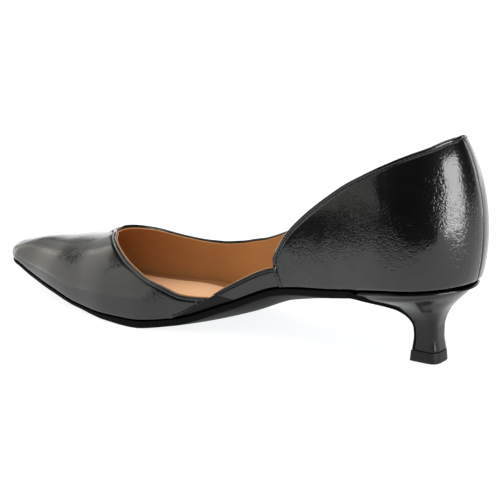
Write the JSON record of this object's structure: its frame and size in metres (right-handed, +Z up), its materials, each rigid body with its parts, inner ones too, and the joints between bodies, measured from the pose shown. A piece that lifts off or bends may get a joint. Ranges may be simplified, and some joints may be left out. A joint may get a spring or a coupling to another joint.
{
  "type": "dorsay pump",
  "caption": "Pointed low-heeled pump for the right foot, cut away on its inner side, with a closed outer side, a flared heel and a curved outsole that runs down the heel front.",
  "frame": {"origin": "on the floor, under the middle of the shoe's bounding box", "axes": "+X to the toe, +Y to the inner side of the right foot, +Z up"},
  "size_m": [0.2588, 0.0722, 0.1036],
  "materials": {
    "black_leather": "glossy, finely crinkled",
    "tan_lining": "smooth satin",
    "dark_sole": "satin",
    "heel_rubber": "matte"
  },
  "bodies": {
    "root": {"upper": "black_leather", "insole": "tan_lining", "outsole": "dark_sole", "heel": "black_leather", "top_lift": "heel_rubber"}
  },
  "joints": []
}
